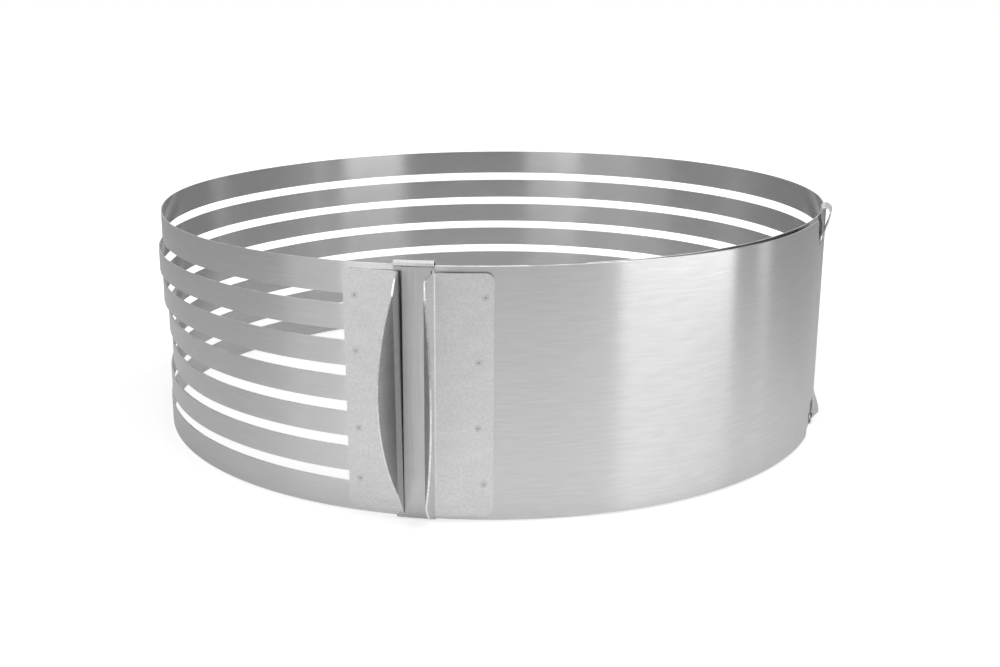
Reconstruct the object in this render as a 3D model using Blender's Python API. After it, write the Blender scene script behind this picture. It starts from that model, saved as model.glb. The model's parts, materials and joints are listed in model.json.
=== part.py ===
"""Adjustable layer-cake slicing ring.

A long slotted spring band is rolled into a ring. A plain outer panel covers the gap between its ends.
The saddle clip and two guide hooks hold the panel against the band's rims, and a finger handle stands
on each side of the saddle, one fixed to the band and one to the panel.
"""

import math
from collections import namedtuple

import bmesh
import bpy
from mathutils import Vector

# Driving sizes in metres. An arc is measured along the band's outside from the middle of the clip.
RING_RADIUS = 0.132
RING_HEIGHT = 0.085
BAND_THICKNESS = 0.0005
PANEL_THICKNESS = 0.0005
SADDLE_THICKNESS = 0.0005
HANDLE_THICKNESS = 0.0006
RUNNING_GAP = 0.0003
FACET_LENGTH = 0.0092
CUT_OVERRUN = 0.002
MERGE_DISTANCE = 0.000001

# Slotted band
SLOT_COUNT = 6
SLOT_HEIGHT = 0.0035
TOP_STRIP_HEIGHT = 0.0106
BOTTOM_STRIP_HEIGHT = 0.01015
TAIL_ARC = 0.0353
END_GAP = 0.0191
SLOT_COVER = 0.002
FREE_MARGIN = 0.012

# Saddle clip
SADDLE_WIDTH = 0.0095
ROLL_LEFT_REACH = 0.00275
ROLL_RIGHT_REACH = 0.0009
ROLL_RISE = 0.0019
ROLL_SHOULDER = 0.0015
FOOT_SHOULDER = 0.0012
LIP_DEPTH = 0.0015
FOOT_BEND = 0.0005

# Outer panel and its two guide hooks
PANEL_START_INSET = 0.0002
PANEL_LENGTH = 0.2154
PANEL_STANDOFF = 0.0005
WINDOW_END_MARGIN = 0.0067
WINDOW_MOUTH = 0.0239
WINDOW_ROOT_WIDTH = 0.0152
WINDOW_CORNER = 0.0028
TOP_WINDOW_DEPTH = 0.0105
BOTTOM_WINDOW_DEPTH = 0.0135
EAR_WIDTH = 0.0115
EAR_SIDE_GAP = 0.0014
EAR_BOW = 0.0019
EAR_CROWN_CLEARANCE = 0.0004
EAR_BEND = 0.0008

# Finger handles
CHANNEL_WIDTH = 0.0106
PLATE_WIDTH = 0.0193
PLATE_BOTTOM = 0.0017
PLATE_TOP_DROP = 0.0020
PLATE_CORNER = 0.0028
PLATE_SEAT_ARC = 0.0206
FLANGE_HEIGHT = 0.0100
FLANGE_LEAN = math.radians(3)
BEND_RADIUS = 0.0010
WING_SPLAY = math.radians(27)

# The left flange is trimmed more at both ends, and the right wing stops well under its flange's top
LEFT_FLANGE_RISE = 0.0100
LEFT_FLANGE_DROP = 0.0054
LEFT_WING_FOOT = 0.0005
LEFT_WING_HEAD = 0.0003
LEFT_WING_DEPTH = 0.0082
RIGHT_FLANGE_RISE = 0.0060
RIGHT_FLANGE_DROP = 0.0008
RIGHT_WING_FOOT = 0.0004
RIGHT_WING_HEAD = 0.0052
RIGHT_WING_DEPTH = 0.0091

# Spot welds, each a small round nugget flush with the sheet that it holds
WELD_RADIUS = 0.00115
LEFT_WELD_SHARES = ((0.79, 0.141), (0.79, 0.348), (0.80, 0.656), (0.79, 0.875))
RIGHT_WELD_SHARES = ((0.84, 0.150), (0.74, 0.376), (0.75, 0.635), (0.86, 0.884))
SADDLE_WELD_SHARES = ((-0.30, 0.269), (-0.07, 0.606), (-0.04, 0.868))

# How finely the round forms are cut
BEND_STEPS = 3
ROLL_STEPS = 8
CORNER_STEPS = 3
FLANGE_COLUMNS = 6
WING_ROWS = 14
WING_COLUMNS = 3
WELD_SIDES = 16
SMOOTH_ANGLE = math.radians(35)

# Places that follow from the sizes above
BAND_INSIDE = RING_RADIUS - BAND_THICKNESS
BAND_MIDDLE = RING_RADIUS - BAND_THICKNESS / 2
PANEL_MIDDLE = RING_RADIUS + RUNNING_GAP + PANEL_THICKNESS / 2
PANEL_OUTSIDE = PANEL_MIDDLE + PANEL_THICKNESS / 2
SADDLE_MIDDLE = PANEL_OUTSIDE + RUNNING_GAP + SADDLE_THICKNESS / 2
LIP_MIDDLE = BAND_INSIDE - RUNNING_GAP - SADDLE_THICKNESS / 2
EAR_LIP_MIDDLE = BAND_INSIDE - RUNNING_GAP - PANEL_THICKNESS / 2
SADDLE_HALF = SADDLE_WIDTH / 2
PANEL_START = PANEL_START_INSET - SADDLE_HALF
PANEL_END = PANEL_START + PANEL_LENGTH
WINDOW_END = PANEL_END - WINDOW_END_MARGIN
EAR_END = WINDOW_END - EAR_SIDE_GAP
EAR_START = EAR_END - EAR_WIDTH
PLATE_TOP = RING_HEIGHT - PLATE_TOP_DROP

# A handle's side, the sheet that it stands on, how its flange is trimmed towards the knee, and its wing
Handle = namedtuple("Handle", "side seat_radius rise rise_power drop drop_power wing_bottom wing_top depth")
LEFT_HANDLE = Handle(
    side=-1,
    seat_radius=RING_RADIUS,
    rise=LEFT_FLANGE_RISE,
    rise_power=0.9,
    drop=LEFT_FLANGE_DROP,
    drop_power=2,
    wing_bottom=PLATE_BOTTOM + LEFT_FLANGE_RISE + LEFT_WING_FOOT,
    wing_top=PLATE_TOP - LEFT_FLANGE_DROP - LEFT_WING_HEAD,
    depth=LEFT_WING_DEPTH,
)
RIGHT_HANDLE = Handle(
    side=1,
    seat_radius=PANEL_OUTSIDE,
    rise=RIGHT_FLANGE_RISE,
    rise_power=3,
    drop=RIGHT_FLANGE_DROP,
    drop_power=8,
    wing_bottom=PLATE_BOTTOM + RIGHT_FLANGE_RISE + RIGHT_WING_FOOT,
    wing_top=PLATE_TOP - RIGHT_FLANGE_DROP - RIGHT_WING_HEAD,
    depth=RIGHT_WING_DEPTH,
)


def clear_scene():
    for old in list(bpy.context.scene.objects):
        bpy.data.objects.remove(old, do_unlink=True)


def steel(name, grey, roughness):
    """A plain stainless finish of this grey."""
    material = bpy.data.materials.new(name)
    material.use_nodes = True
    shader = material.node_tree.nodes["Principled BSDF"]
    shader.inputs["Base Color"].default_value = (grey, grey, grey, 1)
    shader.inputs["Metallic"].default_value = 1
    shader.inputs["Roughness"].default_value = roughness
    return material


def on_ring(radius, arc, height):
    """The point at this radius and height, this arc round from the middle of the clip."""
    turn = arc / RING_RADIUS
    return Vector((radius * math.sin(turn), -radius * math.cos(turn), height))


def spread(marks, longest):
    """Every mark in order, with even steps between them of at most this length."""
    marks = sorted(marks)
    places = [marks[0]]
    for start, end in zip(marks, marks[1:]):
        count = max(1, math.ceil((end - start) / longest - MERGE_DISTANCE))
        places += [start + (end - start) * step / count for step in range(1, count + 1)]
    return places


def add_patch(mesh, columns, rows, place, keep=lambda column, row: True):
    """A grid of faces between the columns and rows, leaving out each cell whose middle isn't kept."""
    for left, right in zip(columns, columns[1:]):
        for low, high in zip(rows, rows[1:]):
            if keep((left + right) / 2, (low + high) / 2):
                corners = (left, low), (right, low), (right, high), (left, high)
                mesh.faces.new([mesh.verts.new(place(*corner)) for corner in corners])


def add_object(name, mesh, material, parent):
    data = bpy.data.meshes.new(name)
    mesh.to_mesh(data)
    mesh.free()
    data.materials.append(material)
    part = bpy.data.objects.new(name, data)
    bpy.context.scene.collection.objects.link(part)
    part.parent = parent
    return part


def settle(part):
    """Keeps the shape that the modifiers give, shaded smooth but for its sharp corners."""
    bpy.context.view_layer.update()
    graph = bpy.context.evaluated_depsgraph_get()
    data = bpy.data.meshes.new_from_object(part.evaluated_get(graph))
    part.modifiers.clear()
    part.data = data
    data.name = part.name
    data.shade_smooth()
    data.set_sharp_from_angle(angle=SMOOTH_ANGLE)


def add_sheet(name, mesh, thickness, material, parent):
    """Joins the patches into one surface, which becomes the middle of a sheet of this thickness."""
    bmesh.ops.remove_doubles(mesh, verts=mesh.verts, dist=MERGE_DISTANCE)
    bmesh.ops.recalc_face_normals(mesh, faces=mesh.faces)
    part = add_object(name, mesh, material, parent)
    solidify = part.modifiers.new("Thickness", "SOLIDIFY")
    solidify.thickness = thickness
    solidify.offset = 0
    solidify.use_even_offset = True
    solidify.use_quality_normals = True
    return part


def bend(start, corner, end, radius, steps):
    """The points of a round bend between two straight runs that meet at the corner."""
    back, ahead = (start - corner).normalized(), (end - corner).normalized()
    half = back.angle(ahead) / 2
    centre = corner + (back + ahead).normalized() * radius / math.sin(half)
    first = corner + back * radius / math.tan(half) - centre
    last = corner + ahead * radius / math.tan(half) - centre
    full = first.angle(last)
    points = []
    for step in range(steps + 1):
        share = step / steps
        weights = math.sin((1 - share) * full), math.sin(share * full)
        points.append(centre + (first * weights[0] + last * weights[1]) / math.sin(full))
    return points


def half_roll(outer, inner, level, steps):
    """The points of a half round from the outer radius over to the inner one, rising from this level."""
    centre, radius = (outer + inner) / 2, (outer - inner) / 2
    turns = [math.pi * step / steps for step in range(steps + 1)]
    return [Vector((centre + radius * math.cos(turn), level + radius * math.sin(turn))) for turn in turns]


def along(profile):
    """Places each step of a profile of radius and height at each arc."""
    return lambda arc, row: on_ring(profile[int(row)].x, arc, profile[int(row)].y)


# Slotted band


def slot_levels():
    """The bottom and top of every slot, from the lowest up."""
    run = RING_HEIGHT - TOP_STRIP_HEIGHT - BOTTOM_STRIP_HEIGHT - SLOT_HEIGHT
    bottoms = [BOTTOM_STRIP_HEIGHT + run * slot / (SLOT_COUNT - 1) for slot in range(SLOT_COUNT)]
    return [(bottom, bottom + SLOT_HEIGHT) for bottom in bottoms]


def make_slotted_band(material, parent):
    """Nearly a full turn, from the free end behind the panel round to the tail under the saddle."""
    full_turn = 2 * math.pi * RING_RADIUS
    free_end = TAIL_ARC + END_GAP - full_turn
    slot_end = SLOT_COVER - CHANNEL_WIDTH / 2 - PLATE_WIDTH
    slots = slot_levels()

    def is_metal(arc, height):
        slotted = free_end + FREE_MARGIN < arc < slot_end
        return not (slotted and any(bottom < height < top for bottom, top in slots))

    mesh = bmesh.new()
    arcs = spread([free_end, free_end + FREE_MARGIN, slot_end, TAIL_ARC], FACET_LENGTH)
    heights = [0, *(level for slot in slots for level in slot), RING_HEIGHT]
    add_patch(mesh, arcs, heights, lambda arc, height: on_ring(BAND_MIDDLE, arc, height), is_metal)
    return add_sheet("slotted_band", mesh, BAND_THICKNESS, material, parent)


# Outer panel


def panel_radius(arc):
    """The panel lies close at the clip and stands a little further off the band at its hooks."""
    plate_edge = CHANNEL_WIDTH / 2 + PLATE_WIDTH
    share = min(1, max(0, (arc - plate_edge) / (EAR_START - plate_edge)))
    return PANEL_MIDDLE + PANEL_STANDOFF * math.sin(share * math.pi / 2)


def top_ear_profile():
    """From the window's root out, up and over the rims to a lip inside the band."""
    middle = panel_radius(EAR_END)
    root = RING_HEIGHT - TOP_WINDOW_DEPTH
    outside, lip = middle + EAR_BOW, EAR_LIP_MIDDLE
    inner_radius = (outside - lip - PANEL_THICKNESS) / 2
    band_offset = (outside + lip) / 2 - BAND_INSIDE
    crown_over_rim = math.sqrt(inner_radius**2 - band_offset**2)
    level = RING_HEIGHT + EAR_CROWN_CLEARANCE - crown_over_rim
    rise = level - root
    bow_shares = ((0, 0), (0.45, 0.35), (0.80, 0.68))
    profile = [Vector((middle + EAR_BOW * out, root + rise * up)) for out, up in bow_shares]
    return profile + half_roll(outside, lip, level, ROLL_STEPS) + [Vector((lip, level - LIP_DEPTH))]


def bottom_ear_profile():
    """From a lip inside the band under the rims and up the bowed strip to the window's root."""
    middle = panel_radius(EAR_END)
    underside = -RUNNING_GAP - PANEL_THICKNESS / 2
    lip_end = Vector((EAR_LIP_MIDDLE, LIP_DEPTH))
    inner_corner = Vector((EAR_LIP_MIDDLE, underside))
    outer_corner = Vector((middle + EAR_BOW, underside))
    bow_shares = ((0.80, 0.45), (0.45, 0.75), (0, 1))
    strip = [Vector((middle + EAR_BOW * out, BOTTOM_WINDOW_DEPTH * up)) for out, up in bow_shares]
    under = bend(lip_end, inner_corner, outer_corner, FOOT_BEND, BEND_STEPS)
    return [lip_end, *under, *bend(inner_corner, outer_corner, strip[0], EAR_BEND, BEND_STEPS), *strip]


def make_outer_panel(material, parent):
    """A plain cover sheet with a window at each rim, where a lanced ear hooks round the band's rim."""
    window_arc, root_arc = WINDOW_END - WINDOW_MOUTH, WINDOW_END - WINDOW_ROOT_WIDTH
    low_root, high_root = BOTTOM_WINDOW_DEPTH, RING_HEIGHT - TOP_WINDOW_DEPTH

    def place(arc, height):
        """Each window's near edge slants in to meet the ear's root."""
        if abs(arc - window_arc) < MERGE_DISTANCE and low_root <= height <= high_root:
            arc = root_arc
        return on_ring(panel_radius(arc), arc, height)

    def is_metal(arc, height):
        return not (window_arc < arc < WINDOW_END and not low_root < height < high_root)

    mesh = bmesh.new()
    before = spread([PANEL_START, window_arc], FACET_LENGTH)
    after = spread([EAR_START, EAR_END, WINDOW_END, PANEL_END], FACET_LENGTH)
    corners = [low_root - WINDOW_CORNER, low_root, high_root, high_root + WINDOW_CORNER]
    add_patch(mesh, before + after, [0, *corners, RING_HEIGHT], place, is_metal)
    ear_arcs = spread([EAR_START, EAR_END], FACET_LENGTH)
    for profile in (top_ear_profile(), bottom_ear_profile()):
        add_patch(mesh, ear_arcs, range(len(profile)), along(profile))
    return add_sheet("outer_panel", mesh, PANEL_THICKNESS, material, parent)


# Saddle clip


def saddle_profile():
    """From the lip inside the foot, under the rims, up the front and over the top to the other lip."""
    underside = -RUNNING_GAP - SADDLE_THICKNESS / 2
    crown = RING_HEIGHT + ROLL_RISE - SADDLE_THICKNESS / 2
    level = crown - (SADDLE_MIDDLE - LIP_MIDDLE) / 2
    foot_lip = Vector((LIP_MIDDLE, LIP_DEPTH))
    inner_corner = Vector((LIP_MIDDLE, underside))
    outer_corner = Vector((SADDLE_MIDDLE, underside))
    low_shoulder = Vector((SADDLE_MIDDLE, FOOT_SHOULDER))
    high_shoulder = Vector((SADDLE_MIDDLE, RING_HEIGHT - ROLL_SHOULDER))
    foot = [
        foot_lip,
        *bend(foot_lip, inner_corner, outer_corner, FOOT_BEND, BEND_STEPS),
        *bend(inner_corner, outer_corner, low_shoulder, FOOT_BEND, BEND_STEPS),
        low_shoulder,
    ]
    roll = half_roll(SADDLE_MIDDLE, LIP_MIDDLE, level, ROLL_STEPS)
    return foot, [high_shoulder, *roll, Vector((LIP_MIDDLE, RING_HEIGHT - LIP_DEPTH))]


def make_saddle_clip(material, parent):
    """A narrow strip up the middle of the clip, wider where it is rolled over the rims."""
    foot, roll = saddle_profile()
    wide = [-SADDLE_HALF - ROLL_LEFT_REACH, -SADDLE_HALF, SADDLE_HALF, SADDLE_HALF + ROLL_RIGHT_REACH]
    mesh = bmesh.new()
    for profile in (foot, roll):
        add_patch(mesh, wide, range(len(profile)), along(profile))
    add_patch(mesh, wide[1:3], [0, 1], along([foot[-1], roll[0]]))
    return add_sheet("saddle_clip", mesh, SADDLE_THICKNESS, material, parent)


# Finger handles


def plate_frame(handle):
    """Where a handle's flat plate touches its sheet, its way out, and its way towards the channel."""
    turn = handle.side * PLATE_SEAT_ARC / RING_RADIUS
    outward = Vector((math.sin(turn), -math.cos(turn)))
    inward = Vector((-handle.side * math.cos(turn), -handle.side * math.sin(turn)))
    seat = outward * (handle.seat_radius + RUNNING_GAP + HANDLE_THICKNESS / 2)
    return seat, outward, inward


def plate_fold(handle):
    """The corner, seen from above, at which the plate turns up into its flange."""
    seat, _, inward = plate_frame(handle)
    fold_x = handle.side * (CHANNEL_WIDTH + HANDLE_THICKNESS) / 2
    return seat + inward * (fold_x - seat.x) / inward.x


def handle_columns(handle):
    """The handle seen from above, as points from the plate's outer edge to the knee, with end heights."""
    _, _, inward = plate_frame(handle)
    fold = plate_fold(handle)
    flange_way = Vector((-handle.side * math.sin(FLANGE_LEAN), -math.cos(FLANGE_LEAN)))
    wing_turn = WING_SPLAY - FLANGE_LEAN
    wing_way = Vector((handle.side * math.sin(wing_turn), -math.cos(wing_turn)))
    knee = fold + flange_way * FLANGE_HEIGHT
    columns = []
    for step in range(CORNER_STEPS + 1):
        turn = math.pi / 2 * step / CORNER_STEPS
        inset, trim = PLATE_CORNER * (1 - math.cos(turn)), PLATE_CORNER * (1 - math.sin(turn))
        point = fold - inward * (PLATE_WIDTH - inset)
        columns.append((point, PLATE_BOTTOM + trim, PLATE_TOP - trim))
    fold_bend = bend(fold - inward, fold, knee, BEND_RADIUS, BEND_STEPS)
    knee_bend = bend(fold, knee, knee + wing_way, BEND_RADIUS, BEND_STEPS)
    columns += [(point, PLATE_BOTTOM, PLATE_TOP) for point in fold_bend]
    for step in range(1, FLANGE_COLUMNS + 1):
        out = step / FLANGE_COLUMNS
        point = fold_bend[-1].lerp(knee_bend[0], out)
        trimmed = PLATE_BOTTOM + handle.rise * out**handle.rise_power
        columns.append((point, trimmed, PLATE_TOP - handle.drop * out**handle.drop_power))
    return columns, knee_bend, wing_way


def wing_rows(handle):
    """Heights up the wing, closer together towards its ends."""
    middle, half = (handle.wing_top + handle.wing_bottom) / 2, (handle.wing_top - handle.wing_bottom) / 2
    return [middle - half * math.cos(math.pi * row / WING_ROWS) for row in range(WING_ROWS + 1)]


def wing_width(handle, height):
    """How far the D-shaped wing reaches at this height, as an arc of a circle."""
    middle, half = (handle.wing_top + handle.wing_bottom) / 2, (handle.wing_top - handle.wing_bottom) / 2
    radius = (half**2 + handle.depth**2) / (2 * handle.depth)
    return math.sqrt(radius**2 - (height - middle) ** 2) - (radius - handle.depth)


def make_handle(name, handle, material, parent):
    """A flat plate on the sheet, a flange standing out beside the channel and a wing splayed off it."""
    columns, knee_bend, wing_way = handle_columns(handle)
    heights = wing_rows(handle)

    def place_body(column, row):
        point, bottom, top = columns[int(column)]
        levels = [bottom, *heights, top]
        return Vector((point.x, point.y, levels[int(row)]))

    def place_knee(column, row):
        point = knee_bend[int(column)]
        return Vector((point.x, point.y, heights[int(row)]))

    def place_wing(column, row):
        height = heights[int(row)]
        point = knee_bend[-1] + wing_way * wing_width(handle, height) * column / WING_COLUMNS
        return Vector((point.x, point.y, height))

    mesh = bmesh.new()
    add_patch(mesh, range(len(columns)), range(len(heights) + 2), place_body)
    add_patch(mesh, range(len(knee_bend)), range(len(heights)), place_knee)
    add_patch(mesh, range(WING_COLUMNS + 1), range(len(heights)), place_wing)
    return add_sheet(name, mesh, HANDLE_THICKNESS, material, parent)


# Spot welds


def add_disc(name, radius, depth, place, turn, material, parent):
    """A short round bar at this place, lying along the direction out of the ring."""
    mesh = bmesh.new()
    ends = {"radius1": radius, "radius2": radius, "depth": depth}
    bmesh.ops.create_cone(mesh, cap_ends=True, segments=WELD_SIDES, **ends)
    disc = add_object(name, mesh, material, parent)
    disc.location = place
    disc.rotation_euler = (math.pi / 2, 0, turn)
    return disc


def add_weld(name, sheet, thickness, place, turn, material, parent):
    """A nugget in its own hole through the sheet."""
    add_disc(name, WELD_RADIUS, thickness, place, turn, material, parent)
    hole_radius, hole_depth = WELD_RADIUS + RUNNING_GAP, thickness + CUT_OVERRUN
    cutter = add_disc(name + "_hole", hole_radius, hole_depth, place, turn, material, parent)
    cutter.hide_render = True
    cutter.display_type = "WIRE"
    cut = sheet.modifiers.new(name, "BOOLEAN")
    cut.operation = "DIFFERENCE"
    cut.object = cutter


def weld_handle(part, handle, weld_shares, material, parent):
    """A column of welds down the plate, placed across its width and up the ring's height."""
    _, _, inward = plate_frame(handle)
    fold = plate_fold(handle)
    turn = handle.side * PLATE_SEAT_ARC / RING_RADIUS
    for number, (across_share, height_share) in enumerate(weld_shares, 1):
        point = fold - inward * PLATE_WIDTH * across_share
        place = (point.x, point.y, RING_HEIGHT * height_share)
        add_weld(f"{part.name}_weld_{number}", part, HANDLE_THICKNESS, place, turn, material, parent)


def weld_saddle(saddle, material, parent):
    """A column of welds down the saddle's strip, which is flat between its edges."""
    front = SADDLE_MIDDLE * math.cos(SADDLE_HALF / RING_RADIUS)
    for number, (across_share, height_share) in enumerate(SADDLE_WELD_SHARES, 1):
        place = (SADDLE_WIDTH * across_share, -front, RING_HEIGHT * height_share)
        add_weld(f"{saddle.name}_weld_{number}", saddle, SADDLE_THICKNESS, place, 0, material, parent)


def add_axis(name, parent):
    """An empty on the ring's upright axis, which the pieces of one body hang from."""
    axis = bpy.data.objects.new(name, None)
    axis.empty_display_size = RING_RADIUS / 4
    bpy.context.scene.collection.objects.link(axis)
    axis.parent = parent
    return axis


def stand_at_origin(axis):
    """Moves the whole ring so that the middle of its underside is at the origin."""
    bpy.context.view_layer.update()
    graph = bpy.context.evaluated_depsgraph_get()
    corners = []
    for part in bpy.context.scene.objects:
        if part.type == "MESH" and not part.hide_render:
            evaluated = part.evaluated_get(graph)
            corners += [evaluated.matrix_world @ Vector(corner) for corner in evaluated.bound_box]
    low = Vector([min(corner[way] for corner in corners) for way in range(3)])
    high = Vector([max(corner[way] for corner in corners) for way in range(3)])
    axis.location = (-(low.x + high.x) / 2, -(low.y + high.y) / 2, -low.z)
    bpy.context.view_layer.update()


def main():
    clear_scene()
    ring_axis = add_axis("ring_axis", None)
    cover_axis = add_axis("cover_axis", ring_axis)
    band_steel = steel("brushed_band_steel", 0.60, 0.32)
    panel_steel = steel("brushed_panel_steel", 0.72, 0.28)
    plate_steel = steel("matte_plate_steel", 0.58, 0.50)
    saddle_steel = steel("saddle_steel", 0.50, 0.40)
    weld_steel = steel("weld_steel", 0.45, 0.45)

    make_slotted_band(band_steel, ring_axis)
    left = make_handle("left_handle", LEFT_HANDLE, plate_steel, ring_axis)
    weld_handle(left, LEFT_HANDLE, LEFT_WELD_SHARES, weld_steel, ring_axis)

    make_outer_panel(panel_steel, cover_axis)
    right = make_handle("right_handle", RIGHT_HANDLE, plate_steel, cover_axis)
    weld_handle(right, RIGHT_HANDLE, RIGHT_WELD_SHARES, weld_steel, cover_axis)
    saddle = make_saddle_clip(saddle_steel, cover_axis)
    weld_saddle(saddle, weld_steel, cover_axis)
    stand_at_origin(ring_axis)
    for part in bpy.context.scene.objects:
        if part.type == "MESH" and not part.hide_render:
            settle(part)


main()
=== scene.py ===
"""Dresses the adjustable cake ring: finely bent sheets of brushed steel in a pale studio.

Places on the ring are given as a radius, an arc and a height. The arc runs along the band's outside
from the middle of the saddle clip, and is positive towards the plain panel.
"""

import json
import math
from collections import namedtuple

import bmesh
import bpy
from mathutils import Matrix, Vector, noise


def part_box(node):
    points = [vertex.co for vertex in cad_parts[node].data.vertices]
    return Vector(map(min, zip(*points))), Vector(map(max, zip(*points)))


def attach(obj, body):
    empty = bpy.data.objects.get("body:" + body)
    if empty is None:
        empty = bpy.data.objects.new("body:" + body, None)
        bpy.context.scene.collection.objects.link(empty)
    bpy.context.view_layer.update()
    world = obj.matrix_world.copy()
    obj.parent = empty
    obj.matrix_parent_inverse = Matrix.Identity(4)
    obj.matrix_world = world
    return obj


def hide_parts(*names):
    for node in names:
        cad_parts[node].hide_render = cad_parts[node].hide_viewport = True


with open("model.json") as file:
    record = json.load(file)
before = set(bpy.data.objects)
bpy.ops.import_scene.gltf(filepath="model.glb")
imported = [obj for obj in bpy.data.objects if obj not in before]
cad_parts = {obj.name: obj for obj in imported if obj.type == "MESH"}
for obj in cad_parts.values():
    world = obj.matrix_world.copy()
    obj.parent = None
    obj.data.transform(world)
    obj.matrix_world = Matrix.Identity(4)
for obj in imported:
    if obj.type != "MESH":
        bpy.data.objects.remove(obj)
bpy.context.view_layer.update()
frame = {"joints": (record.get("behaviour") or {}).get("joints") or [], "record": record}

bl_info = {
    "name": "Adjustable Cake Ring",
    "version": (1, 0, 0),
    "blender": (4, 5, 0),
    "location": "3D View > Sidebar > Cake Ring",
    "description": "Builds the sheets and spot welds of an adjustable layer-cake ring, and a studio for it",
    "category": "Add Mesh",
}

FULL_CIRCLE = 2 * math.pi
QUARTER = math.pi / 2

# The ring's place, read from the frame
BAND_LOW, BAND_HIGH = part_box("slotted_band")
HINGE = Vector(frame["joints"][0]["pos_m"])
RING_FOOT = Vector((HINGE.x, HINGE.y, BAND_LOW.z))
RADIUS_IN_FRAME = round((BAND_HIGH.x - BAND_LOW.x) / 2, 3)
HEIGHT_IN_FRAME = BAND_HIGH.z - BAND_LOW.z

# How finely the sheets are cut, joined and rounded
FACET = 0.0022
STRIP_ROWS = 3
BEND_STEPS = 6
ROLL_STEPS = 20
CORNER_STEPS = 10
WING_ROWS = 44
WING_COLUMNS = 6
WELD_SIDES = 36
PANEL_ROW = 0.004
STEP_SLACK = 0.000001
MERGE_DISTANCE = 0.000001
EDGE_ROUND = 0.00008
ROUNDED_ANGLE = math.radians(60)
SHARP_ANGLE = math.radians(32)

# Slotted band, with its two ends and where its slots stop
TAIL_ARC = 0.0353
END_GAP = 0.0191
SLOT_COVER = 0.002
FREE_MARGIN = 0.012

# How its strips, from the top down, have sprung out of round between the panel and the left handle
STRIP_BOWS = (0.0, 0.0019, 0.0008, -0.0008, -0.0013, -0.0005, 0.0)
BOW_ARC = -0.151
BOW_REACH = 0.070
COVERED_ARC = 0.242
RIPPLE = 0.00025
RIPPLE_ARC = 0.21
RIPPLE_SHIFT = 0.37

# How it is drawn in before and at the hooks, and bows out at the far left
DRAW_IN = 0.0028
DRAW_IN_FOOT_SHARE = 0.5
DRAW_IN_ARC = 0.130
DRAW_IN_NEAR_REACH = 0.100
DRAW_IN_FAR_REACH = 0.095
FAR_BOW = 0.0020
FAR_BOW_ARC = -0.218
FAR_BOW_REACH = 0.075

# The thin ring stands a little out of true, as seen from the front
FRONT_TURN = math.radians(10.48)
FRONT_ACROSS = Vector((math.cos(FRONT_TURN), math.sin(FRONT_TURN), 0))
FRONT_AWAY = Vector((-math.sin(FRONT_TURN), math.cos(FRONT_TURN), 0))
RIM_TILT = 0.0072
RIM_LIFT = 0.00085
FOOT_LIFT = 0.00005
UPRIGHT_LEAN = 0.006
RIM_DIP = 0.0009
RIM_DIP_ARC = 0.135
RIM_DIP_REACH = 0.095

# Saddle clip
ROLL_LEFT_REACH = 0.00275
ROLL_RIGHT_REACH = 0.0009
ROLL_RISE = 0.0019
ROLL_SHOULDER = 0.0015
FOOT_SHOULDER = 0.0014
ROLL_BEAD = 0.00055
ROLL_BEAD_RISE = 0.0004
ROLL_WAIST_OUT = 0.6
ROLL_WAIST_UP = 0.4
ROLL_FLAT = (math.radians(24), math.radians(68))
ROLL_FLAT_HOLD = 0.12
LIP_DEPTH = 0.0015
FOOT_BEND = 0.0005
SADDLE_FOOT_BEND = 0.0013
SADDLE_FOOT_GAP = 0.00003

# Outer panel and its guide hooks
PANEL_START_INSET = 0.0002
PANEL_LENGTH = 0.2154
PANEL_DRAW_IN = 0.0002
PANEL_WAVE = 0.00004
PANEL_WAVE_ARC = 0.030
PANEL_WAVE_HEIGHT = 0.070
PANEL_WAVE_PLACE = 3.7
FOOT_CURL = 0.00015
FOOT_CURL_HEIGHT = 0.0007
FOOT_CURL_ROWS = 3
WINDOW_END_MARGIN = 0.0067
WINDOW_MOUTH = 0.0305
WINDOW_SLANT = 0.0035
WINDOW_CORNER = 0.0032
WINDOW_CORNER_ROWS = 5
TOP_WINDOW_DEPTH = 0.0105
BOTTOM_WINDOW_DEPTH = 0.0125
BOTTOM_WINDOW_TRIM = 0.0045
EAR_WIDTH = 0.0115
EAR_SIDE_GAP = 0.0014
BOTTOM_EAR_TRIM = 0.0050
BOTTOM_EAR_NEAR_SHARE = 0.2
TOP_EAR_BOW = 0.0020
BOTTOM_EAR_BOW = 0.0026
BOTTOM_EAR_BOW_POWER = 1.5
EAR_CROWN_CLEARANCE = 0.0002
EAR_BEND = 0.0008
EAR_ROWS = 10
EAR_CREST = 0.0026
EAR_CREST_RETURN = 0.0010
EAR_STRIP_FOOT = 0.0011

# Finger handles
PLATE_BOTTOM = 0.0017
PLATE_TOP_DROP = 0.0020
PLATE_CORNER = 0.0028
PLATE_SEAT_ARC = 0.0206
FLANGE_LEAN = math.radians(3)
FLANGE_COLUMNS = 12
BEND_RADIUS = 0.0010
WING_SPLAY = math.radians(27)
LEFT_SLANT = 0.012

# How far a flange is trimmed towards its knee, at its foot and its head, and its wing past that
Trim = namedtuple("Trim", "rise rise_power drop drop_power foot head")
LEFT_TRIM = Trim(rise=0.0100, rise_power=0.9, drop=0.0054, drop_power=2, foot=0.0005, head=0.0003)
RIGHT_TRIM = Trim(rise=0.0060, rise_power=3, drop=0.0008, drop_power=8, foot=0.0004, head=0.0052)

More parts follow.
